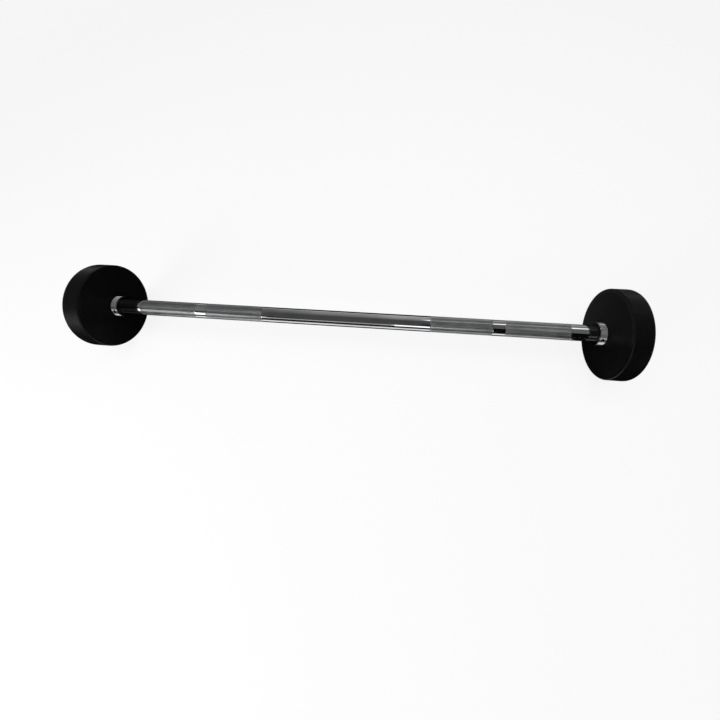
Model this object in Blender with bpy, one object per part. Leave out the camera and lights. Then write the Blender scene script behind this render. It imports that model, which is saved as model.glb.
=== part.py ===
"""Straight fixed barbell: a knurled chrome handle with a rubber-covered head bolted on each end.

Metres, +Z up. The handle lies along X with its middle at the origin. Each head is modelled from its
inner face outwards, on an empty at that face, so the left and the right head are the same design.
"""

import math

import bmesh
import bpy
from mathutils import Matrix

# Gap kept between pieces that touch or slide on each other.
FIT = 0.0003

# Handle: one solid bar, plain in the middle, with two knurled grips on each side.
HANDLE_DIAMETER = 0.028
KNURL_RISE = 0.00015
PLAIN_CENTRE_LENGTH = 0.301
INNER_GRIP_LENGTH = 0.1055
MARK_BAND_WIDTH = 0.021
OUTER_GRIP_LENGTH = 0.1065
SHOULDER_INSIDE_HEAD = 0.001
SHOULDER_CHAMFER = 0.0005

# Spigot: the thinner end of the bar that carries the head.
SPIGOT_DIAMETER = 0.022
SPIGOT_BELOW_HUB = 0.0008
SPIGOT_CHAMFER = 0.0008
TAPPED_HOLE_DEPTH = 0.0215
DRILL_POINT_LENGTH = 0.003

# Heads: round rubber jackets over iron discs. The middle of each inner face stands proud of its rim.
# The span is measured between these middles, where the collars bear.
SPAN_BETWEEN_HEADS = 0.8746
HEAD_DIAMETER = 0.153
RIM_THICKNESS = 0.030
RIM_ROUND = 0.005
FACE_RISE = 0.0047
FACE_LAND_DIAMETER = 0.056
CORE_DIAMETER = 0.143
CORE_THICKNESS = 0.020
CORE_CHAMFER = 0.002
RUBBER_FACE_THICKNESS = 0.005
BORE_EDGE_CHAMFER = 0.0006

# Flanged hub bush pressed into the iron disc.
HUB_DIAMETER = 0.033
HUB_FLANGE_DIAMETER = 0.037
HUB_CHAMFER = 0.0005

# Key that stops the head from turning on the spigot.
KEY_WIDTH = 0.006
KEY_HEIGHT = 0.006
KEY_LENGTH = 0.009
KEY_INTO_SPIGOT = 0.0035
KEY_FROM_SHOULDER = 0.002
KEY_BEVEL = 0.0004

# Collar ring against the inner face, with its set screw.
COLLAR_DIAMETER = 0.038
COLLAR_LENGTH = 0.011
COLLAR_OUTER_CHAMFER = 0.001
COLLAR_INNER_CHAMFER = 0.0004
SET_SCREW_DIAMETER = 0.004
SET_SCREW_BELOW_SURFACE = 0.0006
SET_SCREW_SOCKET_WIDTH = 0.002
SET_SCREW_SOCKET_DEPTH = 0.002
SET_SCREW_CHAMFER = 0.0004
SET_SCREW_TILT = math.radians(52.0)

# Bolt stack in the counterbore of the iron disc.
COUNTERBORE_DIAMETER = 0.048
COUNTERBORE_DEPTH = 0.0127
WASHER_DIAMETER = 0.044
WASHER_THICKNESS = 0.0035
WASHER_CHAMFER = 0.0004
SPRING_WASHER_DIAMETER = 0.018
SPRING_WASHER_THICKNESS = 0.0022
SPRING_WASHER_SLOT = 0.0015
BOLT_DIAMETER = 0.0094
BOLT_CLEARANCE = 0.0006
BOLT_LENGTH = 0.025
BOLT_HEAD_DIAMETER = 0.016
BOLT_HEAD_HEIGHT = 0.006
BOLT_CHAMFER = 0.0007
BOLT_SOCKET_WIDTH = 0.007
BOLT_SOCKET_DEPTH = 0.0035

# End cap that closes the outer face.
CAP_DIAMETER = 0.064
CAP_THICKNESS = 0.003
CAP_ROUND = 0.001
CAP_SEAT_DEPTH = 0.0019
CAP_SKIRT_DIAMETER = 0.0534
CAP_SKIRT_WALL = 0.0027
CAP_SKIRT_LENGTH = 0.0025

# Facets round each kind of piece. Heads have a flat facet straight down.
HEAD_SIDES = 48
HANDLE_SIDES = 36
SMALL_SIDES = 24
ROUND_STEPS = 4

# Largest angle between two faces that are still shaded as one smooth surface.
SMOOTH_ANGLE = math.radians(30.0)

# Points of a turned piece that lie closer than this, as on its axis, become one point.
SAME_POINT = 1e-7

# Distances along a head from its inner face, worked out from the sizes above.
HUB_START = SHOULDER_INSIDE_HEAD + FIT
CORE_START = FACE_RISE + RUBBER_FACE_THICKNESS
CORE_OUTER_FACE = CORE_START + CORE_THICKNESS
HUB_END = CORE_OUTER_FACE - COUNTERBORE_DEPTH
WASHER_START = HUB_END + FIT
SPRING_WASHER_START = WASHER_START + WASHER_THICKNESS + FIT
BOLT_HEAD_START = SPRING_WASHER_START + SPRING_WASHER_THICKNESS + FIT
OUTER_FACE = FACE_RISE + RIM_THICKNESS
CAP_SEAT = OUTER_FACE - CAP_SEAT_DEPTH
KEY_START = SHOULDER_INSIDE_HEAD + KEY_FROM_SHOULDER

# Radii that several pieces share.
HANDLE_RADIUS = HANDLE_DIAMETER / 2
SPIGOT_RADIUS = SPIGOT_DIAMETER / 2
HUB_RADIUS = HUB_DIAMETER / 2
CORE_RADIUS = CORE_DIAMETER / 2
TAPPED_RADIUS = BOLT_DIAMETER / 2 + FIT
KEY_BOTTOM = SPIGOT_RADIUS - KEY_INTO_SPIGOT
KEY_TOP = KEY_BOTTOM + KEY_HEIGHT


def clear_scene():
    for old in list(bpy.data.objects):
        bpy.data.objects.remove(old, do_unlink=True)


def finish(name, colour, metallic, roughness):
    """A material named after the finish it stands for."""
    material = bpy.data.materials.new(name)
    material.use_nodes = True
    shader = material.node_tree.nodes["Principled BSDF"]
    shader.inputs["Base Color"].default_value = (*colour, 1.0)
    shader.inputs["Metallic"].default_value = metallic
    shader.inputs["Roughness"].default_value = roughness
    return material


def new_piece(name, shape, material, parent=None, place=None):
    """Turns a bmesh into a named object, smooth where its faces nearly line up."""
    bmesh.ops.recalc_face_normals(shape, faces=shape.faces)
    mesh = bpy.data.meshes.new(name)
    shape.to_mesh(mesh)
    shape.free()
    mesh.materials.append(material)
    mesh.shade_smooth()
    mesh.set_sharp_from_angle(angle=SMOOTH_ANGLE)
    piece = bpy.data.objects.new(name, mesh)
    bpy.context.scene.collection.objects.link(piece)
    piece.parent = parent
    if place is not None:
        piece.matrix_local = place
    return piece


def quarter_round(centre, radius, start_degrees):
    """Points of a quarter circle in (distance along X, radius), turning from +X towards outwards."""
    points = []
    for step in range(ROUND_STEPS + 1):
        angle = math.radians(start_degrees + 90.0 * step / ROUND_STEPS)
        along = centre[0] + radius * math.cos(angle)
        outwards = centre[1] + radius * math.sin(angle)
        points.append((along, outwards))
    return points


def turned(outline, sides, ring=True):
    """Spins an outline of (distance along X, radius) points round the X axis.

    A ring's outline closes on itself. Otherwise the outline starts and ends on the axis. The first
    point is half a facet off the vertical, which leaves a flat facet straight down.
    """
    shape = bmesh.new()
    half_facet = math.pi / sides
    points = []
    for along, radius in outline:
        sideways = radius * math.sin(half_facet)
        upwards = radius * math.cos(half_facet)
        points.append(shape.verts.new((along, sideways, upwards)))
    edges = [shape.edges.new(pair) for pair in zip(points, points[1:])]
    if ring:
        edges.append(shape.edges.new((points[-1], points[0])))
    bmesh.ops.spin(
        shape,
        geom=points + edges,
        cent=(0, 0, 0),
        axis=(1, 0, 0),
        angle=math.tau,
        steps=sides,
        use_merge=True,
    )
    bmesh.ops.remove_doubles(shape, verts=shape.verts, dist=SAME_POINT)
    return shape


def block(start, end):
    """A box between two opposite corners."""
    shape = bmesh.new()
    bmesh.ops.create_cube(shape, size=1.0)
    size = [high - low for low, high in zip(start, end)]
    middle = [(low + high) / 2 for low, high in zip(start, end)]
    bmesh.ops.scale(shape, vec=size, verts=shape.verts)
    bmesh.ops.translate(shape, vec=middle, verts=shape.verts)
    return shape


def hexagon(width_across_flats, start, end):
    """A hexagonal bar along X, for cutting sockets."""
    corner = width_across_flats / 2 / math.cos(math.pi / 6)
    return turned([(start, 0.0), (start, corner), (end, corner), (end, 0.0)], 6, ring=False)


def cut(piece, cutter_name, cutter_shape, parent=None, place=None):
    """Takes a hidden cutter out of a piece, whose material it shares."""
    cutter = new_piece(cutter_name, cutter_shape, piece.data.materials[0], parent, place)
    cutter.hide_render = True
    cutter.display_type = "WIRE"
    boolean = piece.modifiers.new(cutter_name, "BOOLEAN")
    boolean.operation = "DIFFERENCE"
    boolean.solver = "EXACT"
    boolean.object = cutter


def handle_outline():
    """Outline of the bar, from the axis at the left end to the axis at the right end."""
    grip_radius = HANDLE_RADIUS + KNURL_RISE
    inner_start = PLAIN_CENTRE_LENGTH / 2
    inner_end = inner_start + INNER_GRIP_LENGTH
    outer_start = inner_end + MARK_BAND_WIDTH
    outer_end = outer_start + OUTER_GRIP_LENGTH
    inner_face = SPAN_BETWEEN_HEADS / 2
    shoulder = inner_face + SHOULDER_INSIDE_HEAD
    spigot_end = inner_face + HUB_END - SPIGOT_BELOW_HUB
    hole_bottom = spigot_end - TAPPED_HOLE_DEPTH
    right = []
    for start, end in ((inner_start, inner_end), (outer_start, outer_end)):
        right.append((start, HANDLE_RADIUS))
        right.append((start + KNURL_RISE, grip_radius))
        right.append((end - KNURL_RISE, grip_radius))
        right.append((end, HANDLE_RADIUS))
    right.append((shoulder - SHOULDER_CHAMFER, HANDLE_RADIUS))
    right.append((shoulder, HANDLE_RADIUS - SHOULDER_CHAMFER))
    right.append((shoulder, SPIGOT_RADIUS))
    right.append((spigot_end - SPIGOT_CHAMFER, SPIGOT_RADIUS))
    right.append((spigot_end, SPIGOT_RADIUS - SPIGOT_CHAMFER))
    right.append((spigot_end, TAPPED_RADIUS))
    right.append((hole_bottom, TAPPED_RADIUS))
    right.append((hole_bottom - DRILL_POINT_LENGTH, 0.0))
    left = [(-along, radius) for along, radius in reversed(right)]
    return left + right


def make_handle(chrome):
    handle = new_piece("handle_bar", turned(handle_outline(), HANDLE_SIDES, ring=False), chrome)
    inner_face = SPAN_BETWEEN_HEADS / 2
    half_width = KEY_WIDTH / 2 + FIT
    near = inner_face + KEY_START - FIT
    far = inner_face + HUB_END
    for side, word in ((-1, "left"), (1, "right")):
        low, high = sorted((side * near, side * far))
        slot = block((low, -half_width, KEY_BOTTOM - FIT), (high, half_width, SPIGOT_DIAMETER))
        cut(handle, f"keyway_cutter_bar_{word}", slot)


def make_collar(word, mount, tilt, chrome, dark_steel):
    """Chrome ring that sits proud of the inner face, and the small set screw that holds it."""
    outer = COLLAR_DIAMETER / 2
    inner = HANDLE_RADIUS + FIT
    far = -FIT
    near = far - COLLAR_LENGTH
    outline = [
        (near, inner + COLLAR_INNER_CHAMFER),
        (near, outer - COLLAR_OUTER_CHAMFER),
        (near + COLLAR_OUTER_CHAMFER, outer),
        (far - COLLAR_INNER_CHAMFER, outer),
        (far, outer - COLLAR_INNER_CHAMFER),
        (far, inner + COLLAR_INNER_CHAMFER),
        (far - COLLAR_INNER_CHAMFER, inner),
        (near + COLLAR_INNER_CHAMFER, inner),
    ]
    turn = Matrix.Rotation(tilt, 4, "X")
    ring = new_piece(f"collar_ring_{word}", turned(outline, HANDLE_SIDES), chrome, mount, turn)

    middle = (near + far) / 2
    upright = Matrix.Rotation(-math.pi / 2, 4, "Y")
    hole_radius = SET_SCREW_DIAMETER / 2 + FIT
    hole = turned(
        [(0.0, 0.0), (0.0, hole_radius), (COLLAR_DIAMETER, hole_radius), (COLLAR_DIAMETER, 0.0)],
        SMALL_SIDES,
        ring=False,
    )
    hole_place = turn @ Matrix.Translation((middle, 0.0, 0.0)) @ upright
    cut(ring, f"set_screw_hole_cutter_{word}", hole, mount, hole_place)

    length = outer - SET_SCREW_BELOW_SURFACE - inner
    radius = SET_SCREW_DIAMETER / 2
    screw_outline = [
        (0.0, 0.0),
        (0.0, radius - SET_SCREW_CHAMFER),
        (SET_SCREW_CHAMFER, radius),
        (length - SET_SCREW_CHAMFER, radius),
        (length, radius - SET_SCREW_CHAMFER),
        (length, 0.0),
    ]
    screw_place = turn @ Matrix.Translation((middle, 0.0, inner)) @ upright
    screw = turned(screw_outline, SMALL_SIDES, ring=False)
    screw = new_piece(f"collar_set_screw_{word}", screw, dark_steel, mount, screw_place)
    socket = hexagon(SET_SCREW_SOCKET_WIDTH, length - SET_SCREW_SOCKET_DEPTH, length + FIT)
    cut(screw, f"set_screw_socket_cutter_{word}", socket, mount, screw_place)


def make_hub(word, mount, plated_steel):
    """Steel bush through the iron disc. Its flange bears on the disc and on the bar's shoulder."""
    bore = SPIGOT_RADIUS + FIT
    flange = HUB_FLANGE_DIAMETER / 2
    flange_end = CORE_START - FIT
    outline = [
        (HUB_START, bore + HUB_CHAMFER),
        (HUB_START, flange - HUB_CHAMFER),
        (HUB_START + HUB_CHAMFER, flange),
        (flange_end, flange),
        (flange_end, HUB_RADIUS),
        (HUB_END - HUB_CHAMFER, HUB_RADIUS),
        (HUB_END, HUB_RADIUS - HUB_CHAMFER),
        (HUB_END, bore + HUB_CHAMFER),
        (HUB_END - HUB_CHAMFER, bore),
        (HUB_START + HUB_CHAMFER, bore),
    ]
    hub = new_piece(f"hub_bush_{word}", turned(outline, HANDLE_SIDES), plated_steel, mount)
    half_width = KEY_WIDTH / 2 + FIT
    slot = block((0.0, -half_width, 0.0), (OUTER_FACE, half_width, KEY_TOP + FIT))
    cut(hub, f"keyway_cutter_hub_{word}", slot, mount)


def make_key(word, mount, plated_steel):
    """Key half in the spigot and half in the hub bush."""
    half_width = KEY_WIDTH / 2
    low = (KEY_START, -half_width, KEY_BOTTOM)
    high = (KEY_START + KEY_LENGTH, half_width, KEY_TOP)
    key = new_piece(f"shaft_key_{word}", block(low, high), plated_steel, mount)
    bevel = key.modifiers.new("broken_edges", "BEVEL")
    bevel.width = KEY_BEVEL
    bevel.segments = 1


def make_core(word, mount, iron):
    """Iron disc that gives the head its weight, counterbored on its outer side for the bolt."""
    bore = HUB_RADIUS + FIT
    near = CORE_START
    far = CORE_OUTER_FACE
    counterbore = COUNTERBORE_DIAMETER / 2
    outline = [
        (near, bore),
        (near, CORE_RADIUS - CORE_CHAMFER),
        (near + CORE_CHAMFER, CORE_RADIUS),
        (far - CORE_CHAMFER, CORE_RADIUS),
        (far, CORE_RADIUS - CORE_CHAMFER),
        (far, counterbore),
        (HUB_END, counterbore),
        (HUB_END, bore),
    ]
    new_piece(f"iron_core_{word}", turned(outline, HEAD_SIDES), iron, mount)


def make_jacket(word, mount, rubber):
    """Rubber moulded round the iron disc, with rounded rims and a stepped mouth for the end cap."""
    outer = HEAD_DIAMETER / 2
    bore = HUB_FLANGE_DIAMETER / 2 + FIT
    seat = CAP_DIAMETER / 2 + FIT
    mouth = CAP_SKIRT_DIAMETER / 2 + FIT
    cavity = CORE_RADIUS + FIT
    near = CORE_START - FIT
    far = CORE_OUTER_FACE + FIT
    outline = [(BORE_EDGE_CHAMFER, bore), (0.0, bore + BORE_EDGE_CHAMFER)]
    outline.append((0.0, FACE_LAND_DIAMETER / 2))
    near_rim = (FACE_RISE + RIM_ROUND, outer - RIM_ROUND)
    outline += reversed(quarter_round(near_rim, RIM_ROUND, 90.0))
    far_rim = (OUTER_FACE - RIM_ROUND, outer - RIM_ROUND)
    outline += reversed(quarter_round(far_rim, RIM_ROUND, 0.0))
    outline += [
        (OUTER_FACE, seat + BORE_EDGE_CHAMFER),
        (OUTER_FACE - BORE_EDGE_CHAMFER, seat),
        (CAP_SEAT, seat),
        (CAP_SEAT, mouth),
        (far, mouth),
        (far, cavity - CORE_CHAMFER),
        (far - CORE_CHAMFER, cavity),
        (near + CORE_CHAMFER, cavity),
        (near, cavity - CORE_CHAMFER),
        (near, bore),
    ]
    new_piece(f"rubber_jacket_{word}", turned(outline, HEAD_SIDES), rubber, mount)


def make_washer(word, mount, plated_steel):
    """Wide washer that clamps the iron disc and the hub bush."""
    outer = WASHER_DIAMETER / 2
    inner = BOLT_DIAMETER / 2 + BOLT_CLEARANCE
    end = WASHER_START + WASHER_THICKNESS
    outline = [
        (WASHER_START, inner),
        (WASHER_START, outer - WASHER_CHAMFER),
        (WASHER_START + WASHER_CHAMFER, outer),
        (end - WASHER_CHAMFER, outer),
        (end, outer - WASHER_CHAMFER),
        (end, inner),
    ]
    new_piece(f"retaining_washer_{word}", turned(outline, HANDLE_SIDES), plated_steel, mount)


def make_spring_washer(word, mount, plated_steel):
    """Split ring under the bolt head, closed flat by the bolt."""
    inner = BOLT_DIAMETER / 2 + BOLT_CLEARANCE
    outer = SPRING_WASHER_DIAMETER / 2
    start = SPRING_WASHER_START
    end = start + SPRING_WASHER_THICKNESS
    section = ((start, inner), (start, outer), (end, outer), (end, inner))
    half_slot = SPRING_WASHER_SLOT / (inner + outer)
    turn = math.tau - 2 * half_slot
    shape = bmesh.new()
    rings = []
    for step in range(SMALL_SIDES + 1):
        angle = half_slot + turn * step / SMALL_SIDES
        ring = []
        for along, radius in section:
            ring.append(shape.verts.new((along, radius * math.sin(angle), radius * math.cos(angle))))
        rings.append(ring)
    for ring, following in zip(rings, rings[1:]):
        for corner in range(4):
            after = (corner + 1) % 4
            shape.faces.new((ring[corner], ring[after], following[after], following[corner]))
    shape.faces.new(rings[0])
    shape.faces.new(rings[-1])
    new_piece(f"spring_washer_{word}", shape, plated_steel, mount)


def make_bolt(word, mount, dark_steel):
    """Low socket head bolt screwed into the end of the bar."""
    head = BOLT_HEAD_DIAMETER / 2
    shank = BOLT_DIAMETER / 2
    start = BOLT_HEAD_START
    end = start + BOLT_HEAD_HEIGHT
    tip = start - BOLT_LENGTH
    outline = [
        (tip, 0.0),
        (tip, shank - BOLT_CHAMFER),
        (tip + BOLT_CHAMFER, shank),
        (start, shank),
        (start, head),
        (end - BOLT_CHAMFER, head),
        (end, head - BOLT_CHAMFER),
        (end, 0.0),
    ]
    shape = turned(outline, SMALL_SIDES, ring=False)
    bolt = new_piece(f"end_bolt_{word}", shape, dark_steel, mount)
    socket = hexagon(BOLT_SOCKET_WIDTH, end - BOLT_SOCKET_DEPTH, end + FIT)
    cut(bolt, f"bolt_socket_cutter_{word}", socket, mount)


def make_cap(word, mount, plastic):
    """Round cap pressed into the mouth of the jacket, over the bolt."""
    edge = CAP_DIAMETER / 2
    skirt = CAP_SKIRT_DIAMETER / 2
    inside = skirt - CAP_SKIRT_WALL
    under = CAP_SEAT + FIT
    top = under + CAP_THICKNESS
    skirt_end = under - CAP_SKIRT_LENGTH
    outline = [(under, 0.0), (under, inside), (skirt_end, inside), (skirt_end, skirt)]
    outline += [(under, skirt), (under, edge)]
    outline += reversed(quarter_round((top - CAP_ROUND, edge - CAP_ROUND), CAP_ROUND, 0.0))
    outline.append((top, 0.0))
    new_piece(f"end_cap_{word}", turned(outline, HANDLE_SIDES, ring=False), plastic, mount)


def head_mount(word, side):
    """Empty on a head's inner face, with +X pointing away from the handle."""
    mount = bpy.data.objects.new(f"head_mount_{word}", None)
    mount.location = (side * SPAN_BETWEEN_HEADS / 2, 0.0, 0.0)
    mount.rotation_euler = (0.0, 0.0, math.pi if side < 0 else 0.0)
    bpy.context.scene.collection.objects.link(mount)
    return mount


def make_barbell():
    chrome = finish("chrome_plate", (0.62, 0.63, 0.64), 1.0, 0.12)
    dark_steel = finish("black_oxide_steel", (0.05, 0.05, 0.055), 0.8, 0.40)
    plated_steel = finish("zinc_plated_steel", (0.42, 0.43, 0.45), 1.0, 0.35)
    iron = finish("cast_iron", (0.10, 0.10, 0.11), 0.7, 0.65)
    rubber = finish("black_rubber", (0.012, 0.012, 0.013), 0.0, 0.50)
    plastic = finish("black_plastic", (0.015, 0.015, 0.016), 0.0, 0.35)

    make_handle(chrome)
    for word, side in (("left", -1), ("right", 1)):
        mount = head_mount(word, side)
        make_collar(word, mount, side * SET_SCREW_TILT, chrome, dark_steel)
        make_hub(word, mount, plated_steel)
        make_key(word, mount, plated_steel)
        make_core(word, mount, iron)
        make_jacket(word, mount, rubber)
        make_washer(word, mount, plated_steel)
        make_spring_washer(word, mount, plated_steel)
        make_bolt(word, mount, dark_steel)
        make_cap(word, mount, plastic)


clear_scene()
make_barbell()
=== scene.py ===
# %% [markdown]
# # A straight fixed-weight barbell
#
# The real object is one solid steel handle, 28 mm thick and chromed, with a heavy rubber-covered
# head bolted on each end. You can't load or unload it: the weight is fixed, which is why the ends
# are plain round heads and not sleeves for plates. This lesson takes the measured CAD model of that
# barbell and dresses it: finer shapes where the eye comes close, and a finish for every piece.
#
# Run the cells from top to bottom. Every length is in metres. The handle lies along X with its
# middle at the origin, and Z is up.

# %% Load the measured model
import math

import bmesh
import bpy
import numpy as np
from mathutils import Matrix, Vector


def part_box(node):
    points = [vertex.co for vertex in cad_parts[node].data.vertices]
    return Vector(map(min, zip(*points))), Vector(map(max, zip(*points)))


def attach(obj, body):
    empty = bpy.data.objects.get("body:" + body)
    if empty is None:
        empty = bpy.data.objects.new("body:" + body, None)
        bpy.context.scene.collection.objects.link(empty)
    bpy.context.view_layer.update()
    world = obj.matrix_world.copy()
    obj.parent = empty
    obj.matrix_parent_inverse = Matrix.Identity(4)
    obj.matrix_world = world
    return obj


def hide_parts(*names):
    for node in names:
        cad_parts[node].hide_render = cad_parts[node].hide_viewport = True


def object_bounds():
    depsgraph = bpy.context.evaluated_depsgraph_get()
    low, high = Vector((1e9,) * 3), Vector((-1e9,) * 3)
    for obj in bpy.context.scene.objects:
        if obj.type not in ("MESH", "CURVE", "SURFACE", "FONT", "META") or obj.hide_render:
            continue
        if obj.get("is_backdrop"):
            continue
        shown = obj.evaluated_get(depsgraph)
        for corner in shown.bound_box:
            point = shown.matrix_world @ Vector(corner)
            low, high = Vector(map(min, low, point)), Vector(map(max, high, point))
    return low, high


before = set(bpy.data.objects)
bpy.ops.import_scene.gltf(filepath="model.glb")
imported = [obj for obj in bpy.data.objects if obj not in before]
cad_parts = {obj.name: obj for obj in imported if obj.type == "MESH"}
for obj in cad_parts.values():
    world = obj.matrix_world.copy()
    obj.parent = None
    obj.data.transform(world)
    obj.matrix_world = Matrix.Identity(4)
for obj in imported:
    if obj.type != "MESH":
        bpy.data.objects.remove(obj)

CAD_LOW, CAD_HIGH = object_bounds()
print("pieces in the measured model:", len(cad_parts))
print("overall size in mm:", [round(1000 * side, 1) for side in CAD_HIGH - CAD_LOW])

# %% [markdown]
# ## Measuring the model
#
# Dressing goes wrong when its sizes drift from the model under it. So where a piece ends, and how
# far out it reaches, isn't typed in again: these two helpers measure it on a node of the model.
# Both round to a thousandth of a millimetre, because the stored points carry small errors. The two
# ends of the barbell are alike, so it is enough to measure the right one.

# %% Measuring helpers
DECIMALS = 6


def ends_of(node):
    """Where a node starts and ends along the handle."""
    low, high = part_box(node)
    return round(low.x, DECIMALS), round(high.x, DECIMALS)


def reach_of(node):
    """How far the farthest point of a node lies from the middle line of the handle."""
    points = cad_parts[node].data.vertices
    return round(max(math.hypot(point.co.y, point.co.z) for point in points), DECIMALS)


HEAD_RADIUS = reach_of("rubber_jacket_right")
GRIP_RADIUS = reach_of("handle_bar")
print("radius of a head and of a grip in mm:", 1000 * HEAD_RADIUS, 1000 * GRIP_RADIUS)

# %% [markdown]
# ## The camera
#
# A photograph taken close to a long object spreads its ends: here the lens is very wide and hangs
# only 55 cm above the handle. You could turn the camera by eye until it looks right. It is surer to
# fit it to lengths that you know, which here were the handle, its grips and both heads. The
# small shift stands for a photograph that was trimmed off centre.

# %% Camera
LENS_MM = 16.5796
SENSOR_MM = 36.0
NEAREST_SEEN = 0.01
CAMERA_PLACE = (0.11551, -0.20197, 0.55175)
CAMERA_TURN_DEGREES = (19.711, 3.457, 4.831)
CAMERA_SHIFT = (-0.029795, -0.048354)

lens = bpy.data.cameras.new("studio_camera")
lens.sensor_width = SENSOR_MM
lens.lens = LENS_MM
lens.shift_x, lens.shift_y = CAMERA_SHIFT
lens.clip_start = NEAREST_SEEN
lens.dof.use_dof = False
camera = bpy.data.objects.new("studio_camera", lens)
camera.location = CAMERA_PLACE
camera.rotation_euler = [math.radians(turn) for turn in CAMERA_TURN_DEGREES]
bpy.context.scene.collection.objects.link(camera)
bpy.context.scene.camera = camera
bpy.context.scene.view_settings.view_transform = "Standard"
print("camera height above the handle in mm:", round(1000 * camera.location.z))

# %% [markdown]
# ## Writing a finish as sums
#
# Every finish below is a node tree, and a tree drawn by hand hides what it works out. So two small
# tools come first. A `Wire` is one output of a node: add, subtract or multiply it, and the
# Math node appears by itself. A `Finish` is one material, with a single method that adds any other
# node. With them a pattern reads like the sentence that describes it.

# %% Wires
class Wire:
    """One output of a node. Sums on it add Math nodes to the same tree."""

    def __init__(self, finish, socket):
        self.finish = finish
        self.socket = socket

    def work_out(self, operation, first, second, clamp=False):
        settings = {"operation": operation, "use_clamp": clamp}
        return self.finish.add("ShaderNodeMath", settings, {0: first, 1: second})

    def __add__(self, other):
        return self.work_out("ADD", self, other)

    def __sub__(self, other):
        return self.work_out("SUBTRACT", self, other)

    def __rsub__(self, other):
        return self.work_out("SUBTRACT", other, self)

    def __mul__(self, other):
        return self.work_out("MULTIPLY", self, other)

    def __pow__(self, other):
        return self.work_out("POWER", self, other)

    __radd__ = __add__
    __rmul__ = __mul__

    def within(self, low, high):
        """0 at low, 1 at high, and never outside: a mask. Low may be the larger number."""
        return self.work_out("MULTIPLY", self - low, 1.0 / (high - low), clamp=True)


print("sums ready")

# %% Finishes
class Finish:
    """One material: its node tree and the shader that ends it. It can also work on a ready tree."""

    def __init__(self, name, tree=None, **fixed):
        if tree is None:
            self.material = bpy.data.materials.new(name)
            self.material.use_nodes = True
            tree = self.material.node_tree
            self.shader = tree.nodes["Principled BSDF"]
        self.tree = tree
        for socket, value in fixed.items():
            self.shader.inputs[socket.replace("_", " ")].default_value = value

    def add(self, kind, settings=None, values=None, output=0):
        """Adds a node of this kind, sets it, joins its sockets and gives back one output."""
        node = self.tree.nodes.new(kind)
        for setting, value in (settings or {}).items():
            setattr(node, setting, value)
        for socket, value in (values or {}).items():
            if isinstance(value, Wire):
                self.tree.links.new(value.socket, node.inputs[socket])
            else:
                node.inputs[socket].default_value = value
        return Wire(self, node.outputs[output])

    def mix(self, mask, first, second):
        """A colour that goes from first to second as the mask goes from 0 to 1.

        A Mix node takes colours at its sockets 6 and 7, and gives one at its output 2."""
        values = {0: mask, 6: (*first, 1.0), 7: (*second, 1.0)}
        return self.add("ShaderNodeMix", {"data_type": "RGBA"}, values, output=2)

    def outputs_of(self, wire, names):
        """Several outputs of the node that a wire comes from."""
        return [Wire(self, wire.socket.node.outputs[name]) for name in names]

    def ray_kinds(self):
        """Masks of 1 for what the camera sees, what a mirror sees and what is seen through glass."""
        names = ("Is Camera Ray", "Is Glossy Ray", "Is Transmission Ray")
        return self.outputs_of(self.add("ShaderNodeLightPath"), names)

    def split(self, vector):
        """The X, Y and Z of a vector."""
        return self.outputs_of(self.add("ShaderNodeSeparateXYZ", values={0: vector}), "XYZ")

    def place(self):
        """Where a point is on the piece, in metres."""
        return self.add("ShaderNodeTexCoord", output="Object")

    def along_and_out(self):
        """How far a point is along the handle, and how far out from its middle line."""
        along, depth, height = self.split(self.place())
        return along, (depth * depth + height * height) ** 0.5

    def noise(self, size, stretch=(1.0, 1.0, 1.0), detail=3.0, vector=None):
        """Cloudy pattern from 0 to 1 whose blots are about this long, in metres."""
        scaling = {0: vector or self.place(), 1: stretch}
        spot = self.add("ShaderNodeVectorMath", {"operation": "MULTIPLY"}, scaling)
        values = {"Vector": spot, "Scale": 1.0 / size, "Detail": detail}
        return self.add("ShaderNodeTexNoise", values=values)

    def bump(self, height, metres, below=None):
        """Tilts the light by a height pattern whose full swing is this many metres."""
        values = {"Height": height, "Distance": metres, "Strength": 1.0}
        if below is not None:
            values["Normal"] = below
        return self.add("ShaderNodeBump", values=values)

    def wear(self, **varying):
        """Joins patterns to the shader, each to the socket it is named after."""
        for socket, wire in varying.items():
            self.tree.links.new(wire.socket, self.shader.inputs[socket.replace("_", " ")])
        return self.material


print("finish tools ready")

# %% [markdown]
# ## Floor
#
# The photograph stands on plain white. A floor bright enough to look white would throw far too
# much light on black rubber, so this floor cheats the way a shop's white table does: the camera,
# and mirror-like metal, see it nearly white, and for all other light it is ordinary matt paint.
# Near the barbell one part in seven of the paint stays in the camera's view, so the soft shadow
# shows. Farther out the white is complete, and the floor meets the backdrop without a line.

# %% Floor
FLOOR_HALF = 30.0
FLOOR_GAP = 0.0001
FLOOR_LEVEL = -HEAD_RADIUS - FLOOR_GAP
FLOOR_PAINT = (0.85, 0.85, 0.85, 1.0)
WHITE = (1.0, 1.0, 1.0, 1.0)
WHITE_SHARE = 0.85
FADE_START = 1.2
FADE_END = 3.5

paint = Finish("floor_paint", Base_Color=FLOOR_PAINT, Roughness=0.9)
seen, mirrored, passed = paint.ray_kinds()
white = paint.add("ShaderNodeEmission", values={"Color": WHITE, "Strength": 1.0})
away = paint.add("ShaderNodeVectorMath", {"operation": "LENGTH"}, {0: paint.place()}, output=1)
whiteness = WHITE_SHARE + (1.0 - WHITE_SHARE) * away.within(FADE_START, FADE_END)
share = (seen * whiteness + mirrored + passed).within(0.0, 1.0)
matt = Wire(paint, paint.shader.outputs[0])
shown = paint.add("ShaderNodeMixShader", values={0: share, 1: matt, 2: white})
paint.tree.links.new(shown.socket, paint.tree.nodes["Material Output"].inputs["Surface"])

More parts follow.
